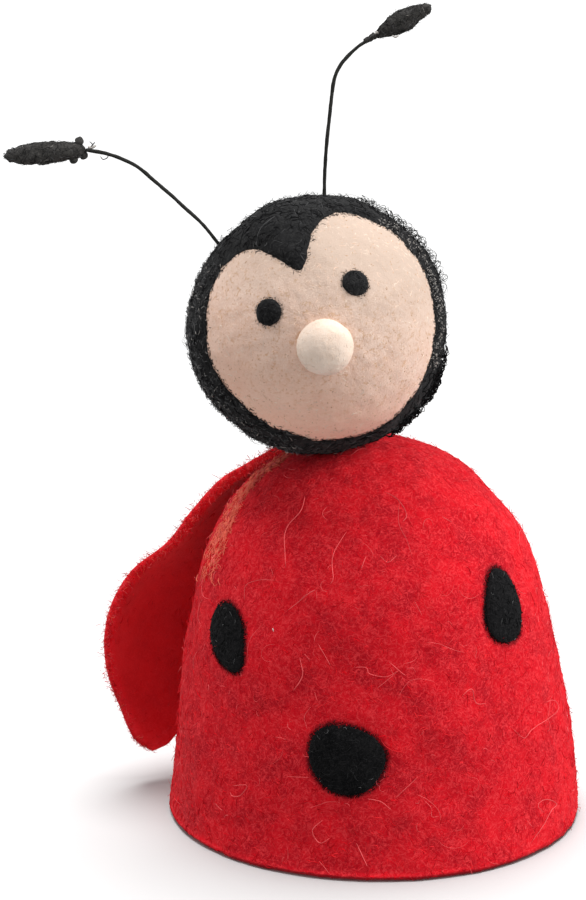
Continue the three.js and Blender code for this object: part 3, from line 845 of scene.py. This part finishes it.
# Grey fibres round the left of the hood: partly grey fuzz, partly a painted sheen where the black wool
# catches the light at its edge.
grey_fuzz_and_sheen = along_rim(hood, 1150, 77, (205, 320), (14, 8), top, (0.4, 1.4), 4, 0.6, (0.1, 0.5))
wiry = along_rim(hood, 180, 80, (38, 92), (14, 5), top, (1.6, 3.4), 8, 0.45, (0.3, 1.5))
collar = along_rim(hood, 450, 83, (122, 162), (20, 6), top, (1.5, 3.5), 4, 0.4, (0.1, 1.2))
groups = [
    (*nap, 0.15, (8, 4, 0.3)),
    (*fuzz, 0.07, (8, 4, 1.4, 0.1)),
    (*stray, 0.08, (3, 3, 1, 0.3)),
    (*edge, 0.09, (6, 4)),
    (*specks, 0.1, (0, 0, 1, 4)),
    (*grey_fuzz_and_sheen, 0.1, (0, 1, 7, 0.6)),
    (*wiry, 0.1, (4, 4, 0.5)),
    (*collar, 0.22, (8, 3)),
]
fibres("hood_fibres", groups, black_fibres)
dress(hood, black_wool, "black_felt", "hood")

# The spots are three flat ovals of black wool, needle felted onto the dome, so their edges are fuzzy
# and black wool is worked a little way into the red round them.
spots = {
    "name": ["front", "left", "right"],
    "around": [-13.6, -57.2, 45.2],
    "z": [20.3, 37.1, 42.9],
    "long": [11.6, 12.0, 12.1],
    "wide": [12.9, 8.7, 8.8],
    "tilt": [-14.5, 38.5, -8.7],
    "fuller": [0.13, 0.2, -0.2],
    "square": [2.15, 1.9, 2.2],
}
spot_height, spot_roundness, spot_stain = 0.75, 2.2, 1.6
spot_off_dome, lens_sunk = 0.15, 0.25


def lens_grid(place, reach, height, roundness, rings=22, spokes=56):
    """A lens over a surface: its crown from the middle out to the rim, and its flat underside."""
    angle = np.linspace(0, 2 * math.pi, spokes, endpoint=False)
    share = np.sin(np.linspace(0, math.pi / 2, rings))
    crown = height * (1 - share**roundness) ** (1 / roundness)
    share = np.concatenate([share, share[-2:0:-3], [0]])
    lift = np.concatenate([crown, np.full(len(share) - rings, -lens_sunk)])
    distance = share[:, None] * reach(angle)
    return place(distance * np.cos(angle), distance * np.sin(angle), lift[:, None] * np.ones_like(distance))


def spot_reach(long, wide, tilt, fuller, square):
    """An oval's outline that is fuller at one end, with corners between round and square."""

    def reach(angle):
        turn = angle - math.radians(tilt)
        sideways, lengthways = np.cos(turn), np.sin(turn)
        size = wide / 2
        for _ in range(2):
            half_wide = wide / 2 * (1 + fuller * lengthways * size / (long / 2))
            total = np.abs(sideways / half_wide) ** square + np.abs(2 * lengthways / long) ** square
            size = total ** (-1 / square)
        return size

    return reach


def head_place(polar, around):
    """Places over the head round one direction: sideways, upwards and lifted off the ball."""
    out = head_direction(polar, np.float64(around))
    sideways = unit(np.cross((0, 0, 1), out))
    upward = np.cross(out, sideways)

    def place(right, up, lift):
        along = np.hypot(right, up) / head_radius
        tangent = unit(right[..., None] * sideways + up[..., None] * upward)
        direction = out * np.cos(along)[..., None] + tangent * np.sin(along)[..., None]
        return on_head(direction, head_radius + lift)

    return place


def spot_place(around, z):
    def place(sideways, upward, lift):
        return on_dome(around + np.degrees(sideways / dome_radius(z)), z + upward, lift + spot_off_dome)

    return place


def beyond_spot(points, around, z, reach):
    """How far points are outside a spot's outline, over the dome, and below 0 inside it."""
    x, y = from_axis(points)
    turn = (np.degrees(np.arctan2(x, -y)) - around + 180) % 360 - 180
    sideways, upward = np.radians(turn) * dome_radius(z), points[:, 2] - z
    return np.hypot(sideways, upward) - reach(np.arctan2(upward, sideways))


def round_edge(surface, place, reach, count, astray, seed, length, curl, lift):
    """Fibres that cross a lens's edge; astray is how far outside it their roots are, and the spread."""
    chance = np.random.default_rng(seed)
    angle = chance.uniform(0, 2 * math.pi, count)
    distance = reach(angle) + chance.normal(*astray, count)
    roots = place(distance * np.cos(angle), distance * np.sin(angle), 0 * angle)
    return combed(surface, roots, headings(count, seed + 1), length, 4, curl, lift, seed + 2)


spot_wool = wool(
    "black spot felt", (0.003, 0.003, 0.0035), (0.008, 0.008, 0.0085), (0.03, 0.028, 0.029),
    mottle=4, curl=0.7, hairs=0.4, bump=0.35, sheen=0.02,
)
dome_points = np.array([v.co for v in dome_surface.data.vertices])
stained = np.zeros(len(dome_points))
for number in range(3):
    name, around, z, *outline = (column[number] for column in spots.values())
    place, reach = spot_place(around, z), spot_reach(*outline)
    grid = lens_grid(place, reach, spot_height, spot_roundness)
    spot = surface_piece("spot_" + name + "_felt", grid, [(2.5, 0.12)])
    beyond = beyond_spot(dome_points, around, z, reach) / spot_stain
    stained = np.maximum(stained, 1 - np.clip(beyond, 0, 1))
    seed = 91 + 10 * number
    nap = grown(spot, 600, seed, (0.8, 2.0), 4, 0.5, (0.02, 0.15))
    edge = round_edge(dome_surface, place, reach, 800, (-0.1, 0.3), seed + 3, (0.3, 0.8), 0.7, (0.05, 0.3))
    groups = [(*nap, 0.12, (8, 3, 0.2)), (*edge, 0.12, (8, 2, 0, 0, 3))]
    fibres("spot_" + name + "_fibres", groups, black_fibres)
    dress(spot, spot_wool, "black_felt", "spot_" + name)
dome.data.attributes.new("stained", "FLOAT", "POINT").data.foreach_set("value", stained)
stain = red_wool.node("Attribute", {"attribute_name": "stained"}, {}, output=2)
darkened = (stain + (red_wool.grain - 0.5) * 0.9).between(0.2, 1.1)
spotted = red_wool.mix(darkened, red_wool.colour, (0.05, 0.003, 0.005))
# Painted shade: the red darkens to near black over the lowest millimetre above the hem, for the shade under
# its rounded edge.
height = red_wool.node("SeparateXYZ", {}, {0: red_wool.place}, output=2)
red_wool.shade(Base_Color=red_wool.mix((1 - height.between(0.1, 1.2)) * 0.8, spotted, (0.1, 0.002, 0.005)))

# The eyes are two small round dots of black wool, needle felted onto the face.
eye_radius, eye_height, eye_roundness = 2.25, 0.9, 2.4
eyes = {"name": ["left", "right"], "polar": [27.8, 27.4], "around": [-53.6, 52.9]}


def round_reach(radius):
    return lambda angle: np.full_like(angle, radius)


for name, polar, around in zip(*eyes.values()):
    place, reach = head_place(polar, around), round_reach(eye_radius)
    grid = lens_grid(place, reach, eye_height, eye_roundness)
    eye = surface_piece("eye_" + name + "_felt", grid, [(1.6, 0.08)])
    seed = 121 + len(name)
    nap = grown(eye, 200, seed, (0.5, 1.2), 4, 0.5, (0.02, 0.12))
    edge = round_edge(head_surface, place, reach, 260, (0, 0.2), seed + 3, (0.2, 0.6), 0.5, (0.05, 0.2))
    groups = [(*nap, 0.1, (8, 3, 0.2)), (*edge, 0.08, (6, 3))]
    fibres("eye_" + name + "_fibres", groups, black_fibres)
    dress(eye, black_wool, "black_felt", "eye_" + name)

# The nose is half a ball of cream wool, felted hard and smooth and needle felted onto the face.
nose_radius, nose_height, nose_roundness = 4.6, 4.3, 2.2
nose_polar, nose_around = 7.5, -164.0
cream_wool = wool(
    "cream wool felt", (0.84, 0.65, 0.52), (0.9, 0.73, 0.61), (0.94, 0.81, 0.71),
    mottle=3, curl=0.6, hairs=0.35, bump=0.25, sheen=0.05,
)
nose_place = head_place(nose_polar, nose_around)
nose_grid = lens_grid(nose_place, round_reach(nose_radius), nose_height, nose_roundness)
nose = surface_piece("nose_felt", nose_grid, [(3, 0.12), (1.2, 0.08), (0.6, 0.05)])
cream_fibres = fibre_finishes({"cream": (0.8, 0.65, 0.53), "pale cream": (0.86, 0.75, 0.66)})
nap = grown(nose, 500, 131, (0.5, 1.4), 4, 0.5, (0.0, 0.1))
fibres("nose_fibres", [(*nap, 0.1, (3, 2))], cream_fibres)
dress(nose, cream_wool, "cream_felt", "nose")

# The antennae are black floral wire, pushed through the hood into the ball and bent by hand. Wool and
# thread are wound round their ends to a spindle; the left one has three knots of thread at its base.
antennae = {
    "left": {
        "route": [
            (-27.1, 4.2, 101.1), (-29.8, 5.2, 104.4), (-32.4, 5.9, 106.8), (-35.1, 6.5, 109.3),
            (-37.8, 7.1, 111.6), (-40.4, 7.7, 113.8), (-43.1, 8.2, 115.2), (-45.8, 8.7, 116.1),
            (-49.4, 9.3, 116.7),
        ],
        "tip_end": (-63.3, 10.5, 115.5),
        "share": [0, 0.03, 0.07, 0.2, 0.35, 0.5, 0.65, 0.8, 0.93, 1],
        "radius": [0, 0.9, 1.35, 1.5, 1.8, 1.95, 1.85, 1.5, 1.05, 0],
        "knots": [(-50.3, 9.3, 118.2), (-51.3, 9.2, 115.1), (-49.6, 9.6, 115.7)],
        "wrap": [],
        "frays": [
            [(-49.0, 9.0, 116.9), (-48.3, 9.0, 117.3), (-47.6, 9.0, 118.1)],
            [(-48.6, 9.0, 116.8), (-48.1, 9.0, 117.6), (-48.6, 9.0, 118.2)],
            [(-46.8, 9.0, 115.6), (-46.3, 9.0, 115.0), (-45.5, 9.0, 115.4), (-45.6, 9.0, 116.3)],
            [(-61.9, 9.4, 116.4), (-62.2, 9.3, 116.9), (-62.5, 9.3, 117.0)],
            [(-62.6, 9.6, 115.9), (-63.0, 9.4, 116.2), (-63.3, 9.3, 116.2)],
            [(-61.2, 9.3, 116.8), (-61.5, 9.3, 117.2), (-61.9, 9.3, 117.2)],
            [(-60.2, 9.3, 117.1), (-60.6, 9.2, 117.4), (-60.9, 9.2, 117.3)],
        ],
        "pale": [[(-48.9, 8.9, 117.3), (-48.2, 8.9, 117.1), (-47.4, 8.9, 117.5)]],
    },
    "right": {
        "route": [
            (-9.1, 2.5, 109.4), (-9.0, 3.0, 112.7), (-8.8, 3.2, 116.1), (-8.5, 3.4, 119.6),
            (-8.1, 3.6, 123.0), (-7.7, 3.8, 126.7), (-7.1, 3.9, 129.9), (-6.1, 4.0, 131.8),
            (-4.9, 4.1, 133.2), (-3.1, 4.1, 134.8), (-0.9, 4.1, 136.2),
        ],
        "tip_end": (9.1, 3.2, 141.8),
        "share": [0, 0.02, 0.09, 0.21, 0.38, 0.5, 0.63, 0.83, 0.93, 1],
        "radius": [0, 0.3, 0.55, 1.1, 1.75, 1.85, 1.75, 1.2, 0.85, 0],
        "knots": [],
        "wrap": [(-2.3, 4.1, 135.5), (-0.2, 4.1, 136.6)],
        "frays": [[(-1.6, 3.6, 136.0), (-0.9, 3.5, 136.7), (-0.2, 3.5, 136.9)]],
        "pale": [
            [(2.2, 1.6, 137.0), (2.8, 1.5, 136.7), (3.4, 1.5, 137.0)],
            [(-0.5, 3.4, 136.9), (-0.1, 3.3, 137.2), (0.2, 3.4, 137.0)],
        ],
    },
}
wire_radius, wire_in_ball = 0.32, 7.0
wire_rings, wire_sides = 150, 10
tip_rings, tip_sides = 70, 36
knot_radius, knot_rings, knot_sides = 0.75, 12, 18
wrap_rings, wrap_sides = 24, 14


def wound(path, radii, sides):
    """Rings round a path, one for each of its points."""
    path = np.asarray(path, float)
    along = unit(np.gradient(path, axis=0))
    side = unit(np.cross(along, (0.0, 1.0, 0.05)))
    up = np.cross(side, along)
    turn = np.linspace(0, 2 * math.pi, sides, endpoint=False)[None, :, None]
    circle = np.cos(turn) * side[:, None] + np.sin(turn) * up[:, None]
    return path[:, None] + np.asarray(radii)[:, None, None] * circle


wire_finish = Finish("black wire", (0.01, 0.01, 0.01), 0.55)
wire_place = wire_finish.node("TexCoord", {}, {}, output=3)
wear = wire_finish.noise(wire_place, 900, detail=2)
worn = wire_finish.mix(wear, (0.008, 0.008, 0.007), (0.05, 0.05, 0.046))
wire_finish.shade(Base_Color=worn, Roughness=wear * 0.3 + 0.4)
thread_wool = wool(
    "charcoal wound wool", (0.024, 0.023, 0.022), (0.052, 0.05, 0.048), (0.1, 0.096, 0.09),
    mottle=2.5, curl=0.5, hairs=0.5, bump=0.35, sheen=0.02,
)
for side, antenna in antennae.items():
    route = np.array(antenna["route"])
    start = route[0] + unit(route[0] - route[1]) * wire_in_ball
    stops = np.concatenate([[start], route])
    chord = lengths_along(stops)
    path = through(stops, np.linspace(0, chord[-1], wire_rings), chord)
    radii = np.full(len(path), wire_radius)
    radii[[0, -1]] = 0
    wire = surface_piece("wire_" + side, wound(path, radii, wire_sides), [(2.0, 0.05), (0.8, 0.04)])
    dress(wire, wire_finish, "black_wire", "antenna_" + side)

    base, end = route[-1], np.array(antenna["tip_end"])
    along = np.linspace(0, 1, tip_rings)
    radii = np.interp(along, antenna["share"], antenna["radius"])
    grid = wound(base + (end - base) * along[:, None], radii, tip_sides)
    tip = surface_piece("tip_" + side + "_wool", grid, [(2.2, 0.2), (1.0, 0.18)])
    seed = 151 + len(side)
    nap = grown(tip, 600, seed, (0.8, 2.2), 4, 0.3, (0.0, 0.12))
    fuzz = grown(tip, 200, seed + 3, (0.5, 1.2), 4, 0.3, (0.15, 0.45), free_end=True)
    groups = [
        (*nap, 0.09, (3, 6, 0.8)),
        (*fuzz, 0.06, (3, 4, 2, 0.3)),
        (*drawn(antenna["frays"]), 0.22, (0, 1, 3)),
        (*drawn(antenna["pale"]), 0.5, (0, 0, 0, 1)),
    ]
    fibres("tip_" + side + "_fibres", groups, black_fibres)
    dress(tip, thread_wool, "charcoal_thread", "antenna_tip_" + side)
    for number, knot in enumerate(antenna["knots"]):
        turn = np.linspace(0, math.pi, knot_rings)
        ball_path = np.array(knot) + np.stack([0 * turn, 0 * turn, -np.cos(turn) * knot_radius], -1)
        grid = wound(ball_path, np.sin(turn) * knot_radius, knot_sides)
        bead = surface_piece(f"knot_{side}_{number}", grid, [(0.8, 0.15)])
        dress(bead, thread_wool, "charcoal_thread")
    if antenna["wrap"]:
        along = np.linspace(0, 1, wrap_rings)[:, None]
        first, last = np.array(antenna["wrap"])
        radii = np.interp(along[:, 0], (0, 0.08, 0.9, 1), (0, 0.4, 0.6, 0))
        grid = wound(first + (last - first) * along, radii, wrap_sides)
        wrap = surface_piece("wrap_" + side, grid, [(0.5, 0.2)])
        dress(wrap, thread_wool, "charcoal_thread")

# Studio: a plain white floor, exposed as bright as the photograph's, and even light all round. One large
# soft light is at the right and a fainter one above the left wing; one overhead lights only the floor.
floor_reach, floor_below_hem, floor_paleness, light_all_round = 6.0, 0.0001, 0.5, 0.56
floor_mesh = bpy.data.meshes.new("floor")
corners = [(x * floor_reach, y * floor_reach, 0) for x, y in ((-1, -1), (1, -1), (1, 1), (-1, 1))]
floor_mesh.from_pydata(corners, [], [(0, 1, 2, 3)])
floor = placed("floor", floor_mesh)
floor.location.z = -floor_below_hem
floor.visible_diffuse = False
floor.visible_glossy = False
floor_finish = Finish("pale floor", (floor_paleness,) * 3, 1.0)
floor_mesh.materials.append(floor_finish.material)

world = bpy.data.worlds.new("studio")
world.use_nodes = True
world.node_tree.nodes["Background"].inputs["Color"].default_value = (1, 1, 1, 1)
world.node_tree.nodes["Background"].inputs["Strength"].default_value = light_all_round
bpy.context.scene.world = world
bpy.context.scene.view_settings.view_transform = "Standard"


def soft_light(name, around, up, distance, size, watts):
    """A round soft light: its angles from the front and from the floor, and how far it is in metres."""
    turn, tip = math.radians(around), math.radians(up)
    aim = Vector((0, 0, 0.06))
    way = Vector((math.sin(turn) * math.cos(tip), -math.cos(turn) * math.cos(tip), math.sin(tip)))
    data = bpy.data.lights.new(name, "AREA")
    data.shape, data.size, data.energy = "DISK", size, watts
    light = placed(name, data)
    light.location = aim + way * distance
    light.rotation_euler = way.to_track_quat("Z", "Y").to_euler()
    light.light_linking.receiver_collection = off_floor


on_floor, off_floor = (bpy.data.collections.new(name) for name in ("lights the floor", "passes the floor"))
on_floor.objects.link(floor)
off_floor.objects.link(floor)
off_floor.collection_objects[0].light_linking.link_state = "EXCLUDE"
soft_light("right light", 81, 31, 1.1, 0.6, 11.2)
soft_light("back light", -108, 73, 1.0, 0.4, 6.5)
overhead = bpy.data.lights.new("floor light", "SUN")
overhead.energy, overhead.angle = 5.6, math.radians(42)
floor_light = placed("floor light", overhead)
floor_light.rotation_euler = Vector((0.03, 0.17, 1)).to_track_quat("Z", "Y").to_euler()
floor_light.light_linking.receiver_collection = on_floor
